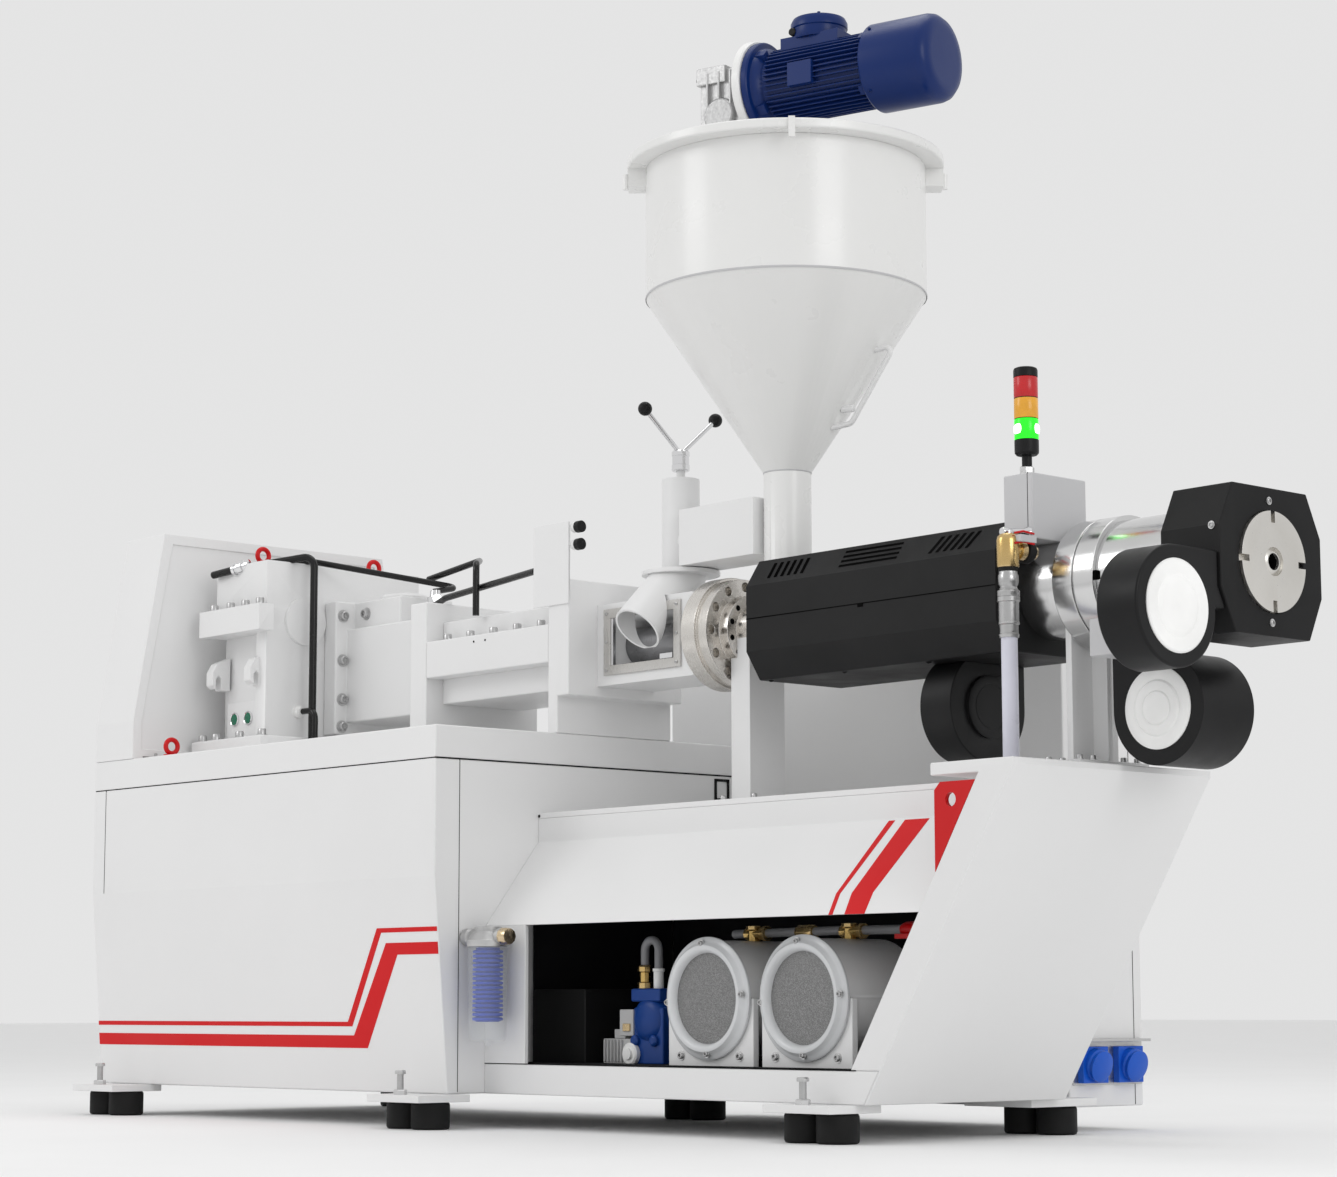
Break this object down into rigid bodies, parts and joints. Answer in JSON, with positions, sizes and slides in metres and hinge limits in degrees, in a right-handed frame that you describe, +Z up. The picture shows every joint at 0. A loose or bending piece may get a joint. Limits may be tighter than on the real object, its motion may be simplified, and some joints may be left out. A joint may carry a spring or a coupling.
{
  "type": "plastic extruder",
  "caption": "Single-screw plastic extruder line: drive cabinet and gearbox, thrust bracket, heated barrel, hopper with geared mixer, cooled die head and control cabinet.",
  "frame": {"origin": "middle of the machine's footprint, on the floor", "axes": "+X along the screw from the drive end to the die, +Y from the working side to the control cabinet, +Z up"},
  "size_m": [3.296, 1.194, 2.42],
  "materials": {
    "white_paint": "semi-gloss powder coat",
    "black_paint": "matt fine-texture paint",
    "grey_paint": "satin paint",
    "red_paint": "gloss paint",
    "blue_paint": "semi-gloss enamel",
    "steel": "turned and ground",
    "dark_steel": "nitrided",
    "chrome": "polished",
    "cast_aluminium": "cast",
    "brass": "machined",
    "rubber": "matt",
    "black_plastic": "moulded",
    "white_plastic": "moulded",
    "blue_plastic": "moulded",
    "hose": "milky flexible tube",
    "clear_bowl": "clear moulded",
    "clear_ring": "clear moulded over mesh"
  },
  "bodies": {
    "machine": {"air_hose": "hose", "air_valve": "brass", "barrel": "steel", "barrel_blower": "black_plastic", "barrel_columns": "white_paint", "barrel_cover": "black_paint", "base_frame": "white_paint", "base_panels": "white_paint", "blower_bracket": "grey_paint", "blower_caps": "white_plastic", "bracket_beams": "white_paint", "bracket_drive_plate": "white_paint", "bracket_screw_plate": "white_paint", "cabinet_cap": "white_paint", "cabinet_shelf": "white_paint", "clamp_rings": "steel", "control_cabinet": "white_paint", "coupling_guard": "white_paint", "die_adapter": "steel", "die_cover": "black_paint", "die_plate": "steel", "discharge_chute": "white_paint", "drive_cabinet": "white_paint", "drive_guard": "white_paint", "end_cover": "white_paint", "extruder_screw": "dark_steel", "feed_block": "white_paint", "feeder_box": "white_paint", "feeder_column": "white_paint", "filter_bowl": "clear_bowl", "filter_head": "cast_aluminium", "filter_screens": "clear_ring", "filter_vessels": "white_paint", "foot_plates": "white_paint", "gauge_plate": "white_paint", "gearbox_case": "white_paint", "gearbox_foot": "white_paint", "hood_front": "white_paint", "hood_top": "white_paint", "hopper_cone": "white_paint", "hopper_lid": "white_paint", "hopper_pipe": "white_paint", "hopper_shell": "white_paint", "junction_box": "grey_paint", "lid_fittings": "white_paint", "lifting_eyes": "red_paint", "lifting_plates": "red_paint", "lower_blower": "black_plastic", "mixer_gearbox": "cast_aluminium", "mixer_motor": "blue_paint", "power_sockets": "blue_plastic", "rubber_mounts": "rubber", "side_blower": "black_plastic", "signal_tower": "black_plastic", "supply_box": "black_paint", "thrust_block": "white_paint", "water_manifold": "brass", "water_pump": "blue_paint", "window_frame": "steel"},
    "lever": {"lever_handle": "chrome"}
  },
  "joints": [
    {"name": "lever_turn", "type": "hinge", "parent": "machine", "child": "lever", "pos_m": [0.001, -0.012, 1.49], "axis": [0, 0, 1], "range_deg": [-90, 90]}
  ]
}
